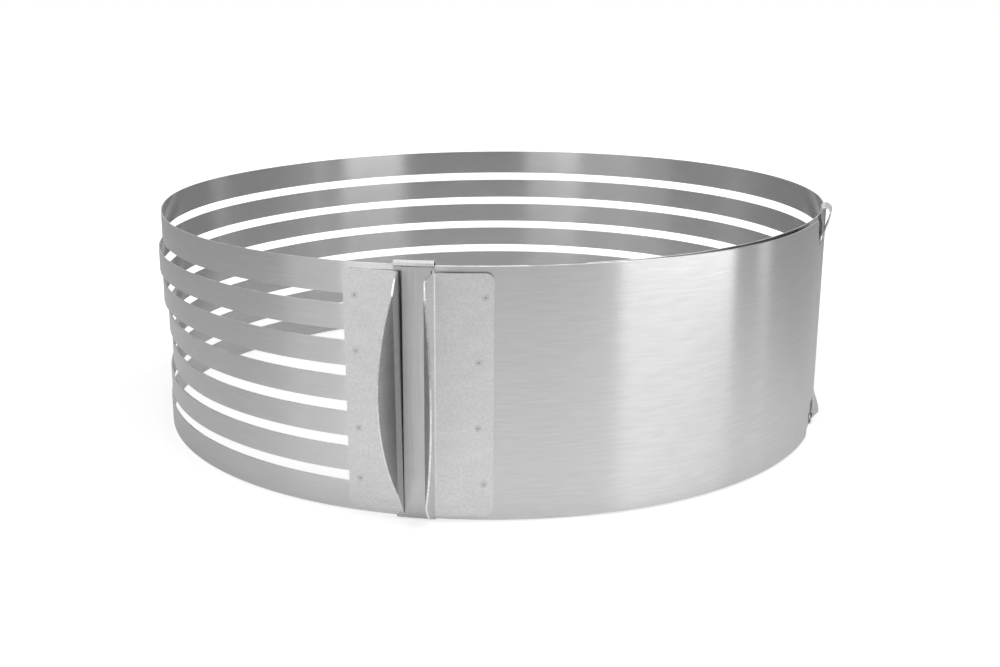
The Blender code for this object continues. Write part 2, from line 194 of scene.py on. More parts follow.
# Spot welds, with their profile and their tints from the middle out, both as shares. The tints darken the
# middle dip and the ring groove: partly the weld's own tint, partly painted shade of those hollows
WELD_SINK = 0.0002
WELD_RISE = 0.00005
WELD_PROFILE_SHARES = (
    (0.0, 0.25), (0.16, 0.3), (0.30, 0.8), (0.45, 1.0), (0.60, 0.8),
    (0.72, 0.2), (0.82, 0.2), (0.90, 0.7), (0.96, 0.6), (1.0, 0.0),
)
WELD_TINTS_AND_PAINTED_SHADE = ((0.0, 0.42), (0.2, 0.55), (0.38, 0.86), (0.58, 0.92), (0.76, 0.74), (0.9, 0.9), (1.0, 1.0))
WELD_ROUGHNESS = 0.5
WELD_SHIFT = 0.12
WELD_SHIFT_SPAN = (0.3, 0.7)
WELD_PATCH_SIZE = (0.4, 1.4)
WELD_PATCH_DETAIL = 2

# A steel's streaks, with their length and width, the depth of its relief, and how mottled it looks
Grain = namedtuple("Grain", "along across depth mottle")
BAND_GRAIN = Grain(0.016, 0.0008, 0.00001, 0.04)
PANEL_GRAIN = Grain(0.012, 0.0008, 0.00001, 0.045)
PLATE_GRAIN = Grain(0.0010, 0.0009, 0.00002, 0.08)
SADDLE_GRAIN = Grain(0.030, 0.0008, 0.00001, 0.06)
EDGE_GRAIN = Grain(0.006, 0.0002, 0.00001, 0.3)
EDGE_ROUGHNESS = 0.34
RELIEF_STRENGTH = 0.35
UPRIGHT_BRUSHING = 0.25

# The noises behind the streaks, the finer hairs in them and the clouds of handling marks
STREAK_DETAIL = 5
HAIR_DETAIL = 3
HAIRS_PER_LENGTH = 3
HAIRS_PER_WIDTH = 8
CLOUD_SIZE = (0.004, 0.010)
CLOUD_DETAIL = 4
NOISE_ROUGHNESS = 0.6
NOISE_SPAN = (0.25, 0.75)
HAIR_SPAN = (0.2, 0.8)
CLOUD_ROUGHENING = 0.02
HAIR_ROUGHENING = 0.05


def steel_grey(default, description):
    return bpy.props.FloatVectorProperty(
        name="Steel colour", description=description, default=(default,) * 3, subtype="COLOR", size=3,
        min=0, max=1,
    )


def length(name, description, default):
    return bpy.props.FloatProperty(
        name=name, description=description, default=default, min=0, unit="LENGTH", precision=5
    )


def factor(name, description, default, most=1.0):
    return bpy.props.FloatProperty(
        name=name, description=description, default=default, min=0, max=most, subtype="FACTOR"
    )


class CakeRingSizes(bpy.types.PropertyGroup):
    """The ring's own sizes"""

    radius: length("Ring radius", "Outside radius of the slotted band", RADIUS_IN_FRAME)
    height: length("Ring height", "Height of the slotted band", HEIGHT_IN_FRAME)
    sheet: length("Sheet thickness", "Thickness of the band, the panel and the saddle clip", 0.0005)
    handle_sheet: length("Handle thickness", "Thickness of the handles' sheet", 0.0006)
    running_gap: length("Running gap", "Room between sheets that slide on each other", 0.0003)
    slot_count: bpy.props.IntProperty(name="Slots", description="Knife slots up the band", default=6, min=1)
    slot_height: length("Slot height", "Height of each knife slot", 0.0035)
    top_strip: length("Top strip", "Height of the strip over the highest slot", 0.0106)
    bottom_strip: length("Bottom strip", "Height of the strip under the lowest slot", 0.01015)
    saddle_width: length("Saddle width", "Width of the saddle clip's upright strip", 0.0095)
    channel_width: length("Channel width", "Clear width between the handles' flanges", 0.0106)
    plate_width: length("Plate width", "Width of each handle's flat plate", 0.0193)
    flange_height: length("Flange height", "How far each handle stands off its plate", 0.0100)
    left_wing_depth: length("Left wing depth", "How far the left wing reaches past its flange", 0.0082)
    right_wing_depth: length("Right wing depth", "How far the right wing reaches past its flange", 0.0091)
    weld_radius: length("Weld radius", "Radius of each spot weld's mark", 0.0013)


class CakeRingFinish(bpy.types.PropertyGroup):
    """The finish of each kind of sheet"""

    band_colour: steel_grey(0.66, "Colour of the slotted band")
    panel_colour: steel_grey(0.67, "Colour of the outer panel")
    plate_colour: steel_grey(0.71, "Colour of the handles")
    saddle_colour: steel_grey(0.57, "Colour of the saddle clip")
    weld_colour: steel_grey(0.76, "Colour of the spot welds")
    edge_colour: steel_grey(0.85, "Colour of the sheets' cut edges")
    band_roughness: factor("Band roughness", "Roughness of the band and the panel", 0.23)
    plate_roughness: factor("Plate roughness", "Roughness of the handles' sheet", 0.42)
    brushing: factor("Brushing", "How far the brushed sheets draw reflections out", 1.0)


class CakeRingStudio(bpy.types.PropertyGroup):
    """The floor, the light and the camera"""

    floor_colour: steel_grey(0.60, "Colour of the studio floor")
    room_level: factor("Room level", "Brightness of the room that the steel mirrors", 0.37)
    key_level: factor("Key light", "Brightness of the large light on the right", 1.85, 10)
    strip_level: factor("Strip light", "Brightness of the narrow light past the key light", 0.5, 10)
    fill_level: factor("Fill light", "Brightness of the soft light on the left", 1.0, 10)
    side_level: factor("Side light", "Brightness of the wide light behind the one on the left", 0.5, 10)
    top_level: factor("Top light", "Brightness of the overhead light", 1.1, 10)
    camera_distance: length("Camera distance", "From the ring's axis to the camera, level", 0.54625)
    camera_height: length("Camera height", "From the band's lower rim to the camera", 0.1784)


def sizes():
    return bpy.context.scene.cake_ring_sizes


def finish():
    return bpy.context.scene.cake_ring_finish


def studio():
    return bpy.context.scene.cake_ring_studio


# Places on the ring


def on_ring(radius, arc, height):
    turn = arc / sizes().radius
    return Vector((radius * math.sin(turn), -radius * math.cos(turn), height))


def spread(marks, longest=FACET):
    """Every mark in order, with even steps between them of at most this length."""
    marks = sorted(marks)
    places = [marks[0]]
    for start, end in zip(marks, marks[1:]):
        count = max(1, math.ceil((end - start) / longest - STEP_SLACK))
        places += [start + (end - start) * step / count for step in range(1, count + 1)]
    return places


def swell(place, middle, reach):
    """A smooth hump of height one over its middle, which fades out at its reach on both sides."""
    share = abs(place - middle) / reach
    return (1 + math.cos(math.pi * share)) / 2 if share < 1 else 0.0


def bend(start, corner, end, radius):
    """The points of a round bend between two straight runs that meet at the corner."""
    back, ahead = (start - corner).normalized(), (end - corner).normalized()
    half = back.angle(ahead) / 2
    centre = corner + (back + ahead).normalized() * radius / math.sin(half)
    first = corner + back * radius / math.tan(half) - centre
    last = corner + ahead * radius / math.tan(half) - centre
    full = first.angle(last)
    points = []
    for step in range(BEND_STEPS + 1):
        share = step / BEND_STEPS
        weights = math.sin((1 - share) * full), math.sin(share * full)
        points.append(centre + (first * weights[0] + last * weights[1]) / math.sin(full))
    return points


def half_roll(outer, inner, level, flat=None):
    """The points of a half round from the outer radius over to the inner one, with or without a flat."""
    centre, radius = (outer + inner) / 2, (outer - inner) / 2

    def at(turn):
        return Vector((centre + radius * math.cos(turn), level + radius * math.sin(turn)))

    turns = [math.pi * step / ROLL_STEPS for step in range(ROLL_STEPS + 1)]
    if not flat:
        return [at(turn) for turn in turns]
    start, end = at(flat[0]), at(flat[1])
    run = [start.lerp(end, share) for share in (0, ROLL_FLAT_HOLD, 1 - ROLL_FLAT_HOLD, 1)]
    before = [at(turn) for turn in turns if turn < flat[0]]
    after = [at(turn) for turn in turns if turn > flat[1]]
    return before + run + after


def out_of_true(point):
    """Where a point of the true ring lies on this one, which leans, and whose top rim isn't quite level."""
    share = point.z / sizes().height
    lean = FRONT_ACROSS * UPRIGHT_LEAN * (point.z - sizes().height / 2)
    dip = RIM_DIP * swell(math.atan2(point.x, -point.y) * sizes().radius, RIM_DIP_ARC, RIM_DIP_REACH)
    rise = FOOT_LIFT + share * (RIM_TILT * point.dot(FRONT_ACROSS) + RIM_LIFT - dip)
    return point + lean + Vector((0, 0, rise))


def lengths_of(points):
    """How far along a run of points each one lies."""
    total = [0.0]
    for start, end in zip(points, points[1:]):
        total.append(total[-1] + (end - start).length)
    return total


# Making sheets


def everywhere(column, row):
    return True


def as_placed(column, row):
    return column, row


def add_patch(mesh, columns, rows, place, keep=everywhere, brush=as_placed):
    """A grid of faces between the columns and rows, with brush coordinates for the material's grain."""
    layer = mesh.loops.layers.uv.get("brush") or mesh.loops.layers.uv.new("brush")
    for left, right in zip(columns, columns[1:]):
        for low, high in zip(rows, rows[1:]):
            if not keep((left + right) / 2, (low + high) / 2):
                continue
            corners = (left, low), (right, low), (right, high), (left, high)
            face = mesh.faces.new([mesh.verts.new(place(*corner)) for corner in corners])
            for loop, corner in zip(face.loops, corners):
                loop[layer].uv = brush(*corner)


def add_profile_patch(mesh, arcs, profile, twist=lambda arc, radius: radius):
    """A patch whose upright section is a profile of radius and height, which may twist along its arc."""
    rows = lengths_of(profile)
    points = dict(zip(rows, profile))

    def place(arc, row):
        return on_ring(twist(arc, points[row].x), arc, points[row].y)

    add_patch(mesh, arcs, rows, place)


def link_object(name, data):
    made = bpy.data.objects.new(name, data)
    bpy.context.scene.collection.objects.link(made)
    return made


def link_piece(name, mesh, materials):
    """A new object in the scene, with this mesh and these materials."""
    data = bpy.data.meshes.new(name)
    mesh.to_mesh(data)
    mesh.free()
    for material in materials:
        data.materials.append(material)
    return link_object(name, data)


def apply_modifiers(piece):
    """Keeps what the modifiers make, smooth but for its sharp corners."""
    bpy.context.view_layer.update()
    graph = bpy.context.evaluated_depsgraph_get()
    data = bpy.data.meshes.new_from_object(piece.evaluated_get(graph))
    piece.modifiers.clear()
    old, piece.data = piece.data, data
    bpy.data.meshes.remove(old)
    data.name = piece.name
    data.shade_smooth()
    data.set_sharp_from_angle(angle=SHARP_ANGLE)


def add_sheet(name, mesh, thickness, face_steel, node, body):
    """Gives the joined patches the sheet's thickness and dulled edges, and sets it on its body."""
    bmesh.ops.remove_doubles(mesh, verts=mesh.verts, dist=MERGE_DISTANCE)
    bmesh.ops.recalc_face_normals(mesh, faces=mesh.faces)
    for vertex in mesh.verts:
        vertex.co = out_of_true(vertex.co)
    piece = link_piece(name, mesh, [face_steel, edge_steel()])
    solidify = piece.modifiers.new("Thickness", "SOLIDIFY")
    solidify.thickness = thickness
    solidify.offset = 0
    solidify.use_even_offset = True
    solidify.use_quality_normals = True
    solidify.material_offset_rim = 1
    dulled = piece.modifiers.new("Dulled edges", "BEVEL")
    dulled.width = EDGE_ROUND
    dulled.segments = 1
    dulled.limit_method = "ANGLE"
    dulled.angle_limit = ROUNDED_ANGLE
    apply_modifiers(piece)
    piece.location = RING_FOOT
    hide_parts(node)
    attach(piece, body)


# Materials


def new_material(name):
    """A material with nodes, and its shader."""
    material = bpy.data.materials.new(name)
    material.use_nodes = True
    return material, material.node_tree.nodes["Principled BSDF"]


def add_node(material, kind, **values):
    """A shader node, with its own settings and its sockets' values."""
    node = material.node_tree.nodes.new(kind)
    for name, value in values.items():
        if name in node.inputs:
            node.inputs[name].default_value = value
        else:
            setattr(node, name, value)
    return node


def wire(material, *links):
    for start, end in links:
        material.node_tree.links.new(start, end)


def brush_noise(material, across, along, detail):
    """A noise over the brush coordinates, with its grain's size up and along them."""
    place = add_node(material, "ShaderNodeUVMap", uv_map="brush")
    scale = add_node(material, "ShaderNodeMapping")
    scale.inputs["Scale"].default_value = (1 / along, 1 / across, 1)
    grain = add_node(material, "ShaderNodeTexNoise", noise_dimensions="2D", Scale=1.0, Detail=detail)
    grain.inputs["Roughness"].default_value = NOISE_ROUGHNESS
    wire(material, (place.outputs[0], scale.inputs["Vector"]), (scale.outputs[0], grain.inputs["Vector"]))
    return grain.outputs["Fac"]


def mapped(material, value, low, high, start=0.0, end=1.0):
    """The value, mapped from start and end to low and high."""
    node = add_node(material, "ShaderNodeMapRange")
    for name, number in {"From Min": start, "From Max": end, "To Min": low, "To Max": high}.items():
        node.inputs[name].default_value = number
    wire(material, (value, node.inputs["Value"]))
    return node.outputs["Result"]


def combined(material, first, second, operation="MULTIPLY"):
    node = add_node(material, "ShaderNodeMath", operation=operation)
    wire(material, (first, node.inputs[0]), (second, node.inputs[1]))
    return node.outputs[0]


def vector_result(material, operation, value, other):
    """What a vector node makes of a socket's value and a constant."""
    node = add_node(material, "ShaderNodeVectorMath", operation=operation)
    node.inputs[1].default_value = other
    wire(material, (value, node.inputs[0]))
    return node.outputs["Vector" if operation == "SUBTRACT" else "Value"]


def shifted(material, value, amount):
    node = add_node(material, "ShaderNodeMath", operation="ADD")
    node.inputs[1].default_value = amount
    wire(material, (value, node.inputs[0]))
    return node.outputs[0]


def about_one(material, value, amount, span):
    """The value, mapped from its span to this amount under and over one."""
    return mapped(material, value, 1 - amount, 1 + amount, *span)


def steel(name, colour, roughness, brushing, grain, turned=False):
    """Stainless steel with a brushed grain, softer clouds of handling marks and a fine relief."""
    material, shader = new_material(name)
    shader.inputs["Metallic"].default_value = 1
    shader.inputs["Anisotropic"].default_value = brushing
    shader.inputs["Anisotropic Rotation"].default_value = UPRIGHT_BRUSHING if turned else 0.0
    streak_size = grain.across, grain.along
    hair_size = grain.across / HAIRS_PER_WIDTH, grain.along / HAIRS_PER_LENGTH
    if turned:
        streak_size, hair_size = streak_size[::-1], hair_size[::-1]
    streaks = brush_noise(material, *streak_size, STREAK_DETAIL)
    hairs = brush_noise(material, *hair_size, HAIR_DETAIL)
    clouds = brush_noise(material, *CLOUD_SIZE, CLOUD_DETAIL)
    streak_tone = about_one(material, streaks, grain.mottle, NOISE_SPAN)
    cloud_tone = about_one(material, clouds, grain.mottle / 2, NOISE_SPAN)
    broad_tone = combined(material, streak_tone, cloud_tone)
    tone = combined(material, broad_tone, about_one(material, hairs, grain.mottle / 2, HAIR_SPAN))
    tint = add_node(material, "ShaderNodeMix", data_type="RGBA", blend_type="MULTIPLY")
    tint.inputs["Factor"].default_value = 1
    tint.inputs["A"].default_value = (*colour, 1)
    wire(material, (tone, tint.inputs["B"]), (tint.outputs["Result"], shader.inputs["Base Color"]))
    smoothest, roughest = roughness * (1 - CLOUD_ROUGHENING), roughness * (1 + CLOUD_ROUGHENING)
    cloud_roughness = mapped(material, clouds, smoothest, roughest, *NOISE_SPAN)
    hair_roughness = about_one(material, hairs, HAIR_ROUGHENING, HAIR_SPAN)
    wire(material, (combined(material, cloud_roughness, hair_roughness), shader.inputs["Roughness"]))
    relief = add_node(material, "ShaderNodeBump", Strength=RELIEF_STRENGTH, Distance=grain.depth)
    height = combined(material, streaks, hairs, "ADD")
    wire(material, (height, relief.inputs["Height"]), (relief.outputs[0], shader.inputs["Normal"]))
    if brushing:
        upright = add_node(material, "ShaderNodeCombineXYZ", Z=1.0)
        wire(material, (upright.outputs[0], shader.inputs["Tangent"]))
    return material


def material_once(name, *values):
    return bpy.data.materials.get(name) or steel(name, *values)


def brushed_steel(name, colour, grain, turned=False):
    return material_once(name, colour, finish().band_roughness, finish().brushing, grain, turned)


def band_steel():
    return brushed_steel("band_brushed_round", finish().band_colour, BAND_GRAIN)


def panel_steel():
    return brushed_steel("panel_brushed_round", finish().panel_colour, PANEL_GRAIN)


def saddle_steel():
    return brushed_steel("saddle_brushed_upright", finish().saddle_colour, SADDLE_GRAIN, turned=True)


def plate_steel():
    look = finish()
    return material_once("plate_matte_rolled", look.plate_colour, look.plate_roughness, 0.0, PLATE_GRAIN)


def edge_steel():
    return material_once("sheared_edge", finish().edge_colour, EDGE_ROUGHNESS, 0.0, EDGE_GRAIN)


def weld_steel():
    """Dull steel, darker in the ring where the electrode pressed and at the middle: partly the weld's own
    tint, partly painted shade of those hollows.
    """
    made = bpy.data.materials.get("weld_mark")
    if made:
        return made
    material, shader = new_material("weld_mark")
    shader.inputs["Metallic"].default_value = 1
    shader.inputs["Roughness"].default_value = WELD_ROUGHNESS
    place = add_node(material, "ShaderNodeUVMap", uv_map="brush")
    axes = add_node(material, "ShaderNodeSeparateXYZ")
    wire(material, (place.outputs[0], axes.inputs[0]))
    # The ramp paints shade into the middle dip and the ring groove, over the weld's own darker tint
    ramp = add_node(material, "ShaderNodeValToRGB")
    ramp.color_ramp.interpolation = "B_SPLINE"
    for position, _ in WELD_TINTS_AND_PAINTED_SHADE[1:-1]:
        ramp.color_ramp.elements.new(position)
    for element, (position, shade) in zip(ramp.color_ramp.elements, WELD_TINTS_AND_PAINTED_SHADE):
        element.position = position
        element.color = (*(channel * shade for channel in finish().weld_colour), 1)
    patches = brush_noise(material, *WELD_PATCH_SIZE, WELD_PATCH_DETAIL)
    uneven = mapped(material, patches, -WELD_SHIFT, WELD_SHIFT, *WELD_SHIFT_SPAN)
    wire(material, (combined(material, axes.outputs["Y"], uneven, "ADD"), ramp.inputs["Fac"]))
    wire(material, (ramp.outputs["Color"], shader.inputs["Base Color"]))
    return material


# Slotted band


def slot_levels():
    """The bottom and top of every slot, from the lowest up."""
    ring = sizes()
    run = ring.height - ring.top_strip - ring.bottom_strip - ring.slot_height
    bottoms = [ring.bottom_strip + run * slot / (ring.slot_count - 1) for slot in range(ring.slot_count)]
    return [(bottom, bottom + ring.slot_height) for bottom in bottoms]


def slot_ends():
    """The band's free end, where the slots begin near it, and where they stop under the left plate."""
    ring = sizes()
    free_end = TAIL_ARC + END_GAP - FULL_CIRCLE * ring.radius
    return free_end, free_end + FREE_MARGIN, SLOT_COVER - ring.channel_width / 2 - ring.plate_width


def strip_offset(strip, arc):
    """How far a strip has sprung out of round here, where neither the panel nor a handle holds it."""
    start = COVERED_ARC - FULL_CIRCLE * sizes().radius
    _, _, end = slot_ends()
    if not start < arc < end:
        return 0.0
    bow = STRIP_BOWS[strip % len(STRIP_BOWS)] * swell(arc, BOW_ARC, BOW_REACH)
    ripple = RIPPLE * math.sin(FULL_CIRCLE * (arc / RIPPLE_ARC + strip * RIPPLE_SHIFT))
    return bow + ripple * math.sin(math.pi * (arc - start) / (end - start))


def band_middle(arc, height):
    """The middle of the band's sheet, drawn in before and at the hooks and bowed out at the far left."""
    ring = sizes()
    reach = DRAW_IN_NEAR_REACH if arc < DRAW_IN_ARC else DRAW_IN_FAR_REACH
    share = DRAW_IN_FOOT_SHARE + (1 - DRAW_IN_FOOT_SHARE) * height / ring.height
    middle = ring.radius - ring.sheet / 2 + FAR_BOW * swell(arc, FAR_BOW_ARC, FAR_BOW_REACH)
    return middle - DRAW_IN * share * swell(arc, DRAW_IN_ARC, reach)


def make_slotted_band():
    """One strip of sheet round the ring, with the rows of slots cut out of it."""
    ring = sizes()
    slots = slot_levels()
    free_end, slot_start, slot_end = slot_ends()
    strip_tops = [*(bottom for bottom, _ in slots), ring.height]
    strip_bottoms = [0.0, *(top for _, top in slots)]

    def strip_at(height):
        """The strips are numbered from the top down."""
        middles = [(bottom + top) / 2 for bottom, top in slots]
        return sum(height < middle for middle in middles)

    def place(arc, height):
        wrapped = arc + FULL_CIRCLE * ring.radius if arc < -math.pi * ring.radius else arc
        radius = band_middle(wrapped, height) + strip_offset(strip_at(height), arc)
        return on_ring(radius, arc, height)

    def is_metal(arc, height):
        return not (slot_start < arc < slot_end and any(bottom < height < top for bottom, top in slots))

    heights = []
    for bottom, top in zip(strip_bottoms, strip_tops):
        heights += [bottom + (top - bottom) * row / STRIP_ROWS for row in range(STRIP_ROWS + 1)]
    arcs = spread([free_end, slot_start, slot_end, TAIL_ARC])
    mesh = bmesh.new()
    add_patch(mesh, arcs, heights, place, is_metal)
    add_sheet("band_sheet", mesh, ring.sheet, band_steel(), "slotted_band", "band")


# Outer panel


WindowMarks = namedtuple("WindowMarks", "start end low_ear_start ear_start ear_end")


def panel_start():
    """The panel starts behind the saddle clip, just inside its left side."""
    return PANEL_START_INSET - sizes().saddle_width / 2


def plate_edge():
    """Where a handle's plate ends, on either side of the channel."""
    return sizes().channel_width / 2 + sizes().plate_width


def window_marks():
    """The windows' two sides, where the lower ear starts, the upper ear's start and where both ears end."""
    end = panel_start() + PANEL_LENGTH - WINDOW_END_MARGIN
    ear_end = end - EAR_SIDE_GAP
    ear_start = ear_end - EAR_WIDTH
    return WindowMarks(end - WINDOW_MOUTH, end, ear_start + BOTTOM_EAR_TRIM, ear_start, ear_end)


def panel_radius(arc):
    """The middle of the panel's sheet, which lies a little closer to the ring's axis at the hooks."""
    ring = sizes()
    share = min(1, max(0, (arc - plate_edge()) / (window_marks().ear_start - plate_edge())))
    middle = ring.radius + ring.running_gap + ring.sheet / 2
    return middle - PANEL_DRAW_IN * math.sin(share * QUARTER)


def panel_wave(arc, height):
    """The slight unevenness of a thin rolled sheet, which fades towards the plate and the windows."""
    nearest = min(arc - plate_edge(), window_marks().start - arc)
    free = min(1, max(0, nearest / PANEL_WAVE_ARC))
    place = Vector((arc / PANEL_WAVE_ARC, height / PANEL_WAVE_HEIGHT, PANEL_WAVE_PLACE))
    return free * PANEL_WAVE * noise.noise(place)


def ear_lip_radius(height):
    """The middle of an ear's lip, inside the band."""
    ring = sizes()
    return band_middle(window_marks().ear_end - EAR_WIDTH / 2, height) - ring.sheet - ring.running_gap


def top_ear_profile():
    """From the window's root out, up and over the rims to a lip inside the band."""
    ring = sizes()
    middle = panel_radius(window_marks().ear_end)
    root = ring.height - TOP_WINDOW_DEPTH
    outside, lip = middle + TOP_EAR_BOW, ear_lip_radius(ring.height)
    inner_radius = (outside - lip - ring.sheet) / 2
    band_offset = (outside + lip) / 2 - (lip + ring.sheet / 2 + ring.running_gap)
    crown_over_rim = math.sqrt(inner_radius**2 - band_offset**2)
    level = ring.height + EAR_CROWN_CLEARANCE - crown_over_rim
    profile = []
    for row in range(EAR_ROWS):
        up = row / EAR_ROWS
        bow = TOP_EAR_BOW * math.sin(up * QUARTER) ** 2
        profile.append(Vector((middle + bow, root + (level - root) * up)))
    return profile + half_roll(outside, lip, level) + [Vector((lip, level - LIP_DEPTH))]


def bottom_ear_profile():
    """From a lip inside the band under the rims, up the sheet and over the crest to the window's root."""
    ring = sizes()
    middle, lip = panel_radius(window_marks().ear_end), ear_lip_radius(0.0)
    underside = -ring.running_gap - ring.sheet / 2
    strip = [Vector((middle, EAR_STRIP_FOOT)), Vector((middle, EAR_CREST - EAR_CREST_RETURN))]
    for row in range(EAR_ROWS + 1):
        up = row / EAR_ROWS
        bow = BOTTOM_EAR_BOW * math.cos(up * QUARTER) ** BOTTOM_EAR_BOW_POWER
        strip.append(Vector((middle + bow, EAR_CREST + (BOTTOM_WINDOW_DEPTH - EAR_CREST) * up)))
    lip_end, inner, outer = Vector((lip, LIP_DEPTH)), Vector((lip, underside)), Vector((middle, underside))
    inner_bend, outer_bend = bend(lip_end, inner, outer, FOOT_BEND), bend(inner, outer, strip[0], EAR_BEND)
    return [lip_end, *inner_bend, *outer_bend, *strip]


def foot_curl(height):
    """How far the panel's lower edge curls in under the sheet."""
    return FOOT_CURL * max(0, 1 - height / FOOT_CURL_HEIGHT) ** 2


def make_outer_panel():
    """A plain cover sheet with a window at each rim, where an ear is bent out to hook round the band."""
    ring = sizes()
    window = window_marks()
    low_root, high_root = BOTTOM_WINDOW_DEPTH, ring.height - TOP_WINDOW_DEPTH

    def near_edge(height):
        """A window's near edge, almost upright, with a round corner at the ears' roots."""
        is_low = height < ring.height / 2
        depth, full = (low_root - height, low_root) if is_low else (height - high_root, TOP_WINDOW_DEPTH)
        if depth < -MERGE_DISTANCE:
            return window.start
        from_root = max(0, depth)
        corner = WINDOW_CORNER - math.sqrt(WINDOW_CORNER**2 - max(0, WINDOW_CORNER - from_root) ** 2)
        trim = BOTTOM_WINDOW_TRIM if is_low else 0.0
        return window.start + WINDOW_SLANT * (1 - from_root / full) + corner + trim

    def place(arc, height):
        if abs(arc - window.start) < MERGE_DISTANCE:
            arc = near_edge(height)
        return on_ring(panel_radius(arc) + panel_wave(arc, height) - foot_curl(height), arc, height)

    def is_metal(arc, height):
        return not (window.start < arc < window.end and not low_root < height < high_root)

    def twisted(arc, radius):
        """The lower ear stands off less on its near side."""
        width = window.ear_end - window.low_ear_start
        share = BOTTOM_EAR_NEAR_SHARE + (1 - BOTTOM_EAR_NEAR_SHARE) * (arc - window.low_ear_start) / width
        return min(radius, panel_radius(arc)) + max(0, radius - panel_radius(arc)) * share

    corner_marks = []
    for row in range(WINDOW_CORNER_ROWS + 1):
        rise = WINDOW_CORNER * (1 - math.cos(QUARTER * row / WINDOW_CORNER_ROWS))
        corner_marks += [low_root - rise, high_root + rise]
    curl_mark = FOOT_CURL_HEIGHT / FOOT_CURL_ROWS
    heights = spread([0, curl_mark, FOOT_CURL_HEIGHT, *corner_marks, ring.height], PANEL_ROW)
    past_corner = window.start + WINDOW_SLANT + WINDOW_CORNER + BOTTOM_WINDOW_TRIM + FACET
    ear_marks = [window.ear_start, window.low_ear_start, window.ear_end]
    before = spread([panel_start(), window.start])
    after = spread([past_corner, *ear_marks, window.end, panel_start() + PANEL_LENGTH])
    mesh = bmesh.new()
    add_patch(mesh, before + after, heights, place, is_metal)
    add_profile_patch(mesh, spread(ear_marks), top_ear_profile())
    add_profile_patch(mesh, spread(ear_marks[1:]), bottom_ear_profile(), twisted)
    add_sheet("panel_sheet", mesh, ring.sheet, panel_steel(), "outer_panel", "cover")


# Saddle clip


def saddle_profiles():
    """The foot, the front strip and the rolled top, in order from the foot's lip to the roll's."""
    ring = sizes()
    front = ring.radius + ring.running_gap * 2 + ring.sheet * 1.5
    lip = ring.radius - ring.sheet - ring.running_gap - ring.sheet / 2
    underside = -SADDLE_FOOT_GAP - ring.sheet / 2
    bead = front + ROLL_BEAD
    level = ring.height + ROLL_RISE - ring.sheet / 2 - (bead - lip) / 2
    neck = Vector((front, ring.height - ROLL_BEAD_RISE / 2))
    waist = Vector((front + ROLL_BEAD * ROLL_WAIST_OUT, neck.y + ROLL_BEAD_RISE * ROLL_WAIST_UP))
    low_shoulder = Vector((front, FOOT_SHOULDER))
    high_shoulder = Vector((front, ring.height - ROLL_SHOULDER))
    foot_lip, inner, outer = Vector((lip, LIP_DEPTH)), Vector((lip, underside)), Vector((front, underside))
    inner_bend = bend(foot_lip, inner, outer, FOOT_BEND)
    outer_bend = bend(inner, outer, low_shoulder, SADDLE_FOOT_BEND)
    roll = half_roll(bead, lip, level, ROLL_FLAT)
    roll_lip = Vector((lip, ring.height - LIP_DEPTH))
    return (
        [foot_lip, *inner_bend, *outer_bend, low_shoulder],
        [low_shoulder, high_shoulder],
        [high_shoulder, neck, waist, *roll, roll_lip],
    )


def make_saddle_clip():
    """A narrow upright strip, wider where it is rolled over the rims."""
    ring = sizes()
    foot, front, roll = saddle_profiles()
    half = ring.saddle_width / 2
    wide = [-half - ROLL_LEFT_REACH, -half, half, half + ROLL_RIGHT_REACH]
    mesh = bmesh.new()
    for arcs, profile in ((wide, foot), (wide[1:3], front), (wide, roll)):
        add_profile_patch(mesh, spread(arcs), profile)
    add_sheet("saddle_sheet", mesh, ring.sheet, saddle_steel(), "saddle_clip", "cover")


# Finger handles


# A handle's side, the sheet that it stands on, its slant, how far its wing reaches, and its trim
Handle = namedtuple("Handle", "side seat_radius slant depth trim")


def left_handle():
    ring = sizes()
    return Handle(-1, ring.radius, LEFT_SLANT, ring.left_wing_depth, LEFT_TRIM)


def right_handle():
    ring = sizes()
    return Handle(1, ring.radius + ring.running_gap + ring.sheet, 0.0, ring.right_wing_depth, RIGHT_TRIM)


def plate_frame(handle):
    """Where a handle's flat plate touches its sheet, its way out, and its way towards the channel."""
    ring = sizes()
    turn = handle.side * PLATE_SEAT_ARC / ring.radius
    outward = Vector((math.sin(turn), -math.cos(turn)))
    inward = Vector((-handle.side * math.cos(turn), -handle.side * math.sin(turn)))
    seat = outward * (handle.seat_radius + ring.running_gap + ring.handle_sheet / 2)
    return seat, outward, inward


def plate_fold(handle):
    """The corner, seen from above, at which the plate turns up into its flange."""
    seat, _, inward = plate_frame(handle)
    fold_x = handle.side * (sizes().channel_width + sizes().handle_sheet) / 2
    return seat + inward * (fold_x - seat.x) / inward.x


def wing_span(handle):
    """The wing's bottom and top, as heights."""
    top = sizes().height - PLATE_TOP_DROP - handle.trim.drop - handle.trim.head
    return PLATE_BOTTOM + handle.trim.rise + handle.trim.foot, top


def wing_width(handle, height):
    """How far the D-shaped wing reaches at this height, as an arc of a circle."""
    bottom, top = wing_span(handle)
    middle, half, depth = (top + bottom) / 2, (top - bottom) / 2, handle.depth
    radius = (half**2 + depth**2) / (2 * depth)
    return max(0.0, math.sqrt(radius**2 - (height - middle) ** 2) - (radius - depth))


def slanted(handle, point, height):
    """The handle's point, moved round the ring a little as the handle slants."""
    turn = handle.slant * (sizes().height / 2 - height) / sizes().radius
    return Matrix.Rotation(turn, 3, "Z") @ Vector((point.x, point.y, height))


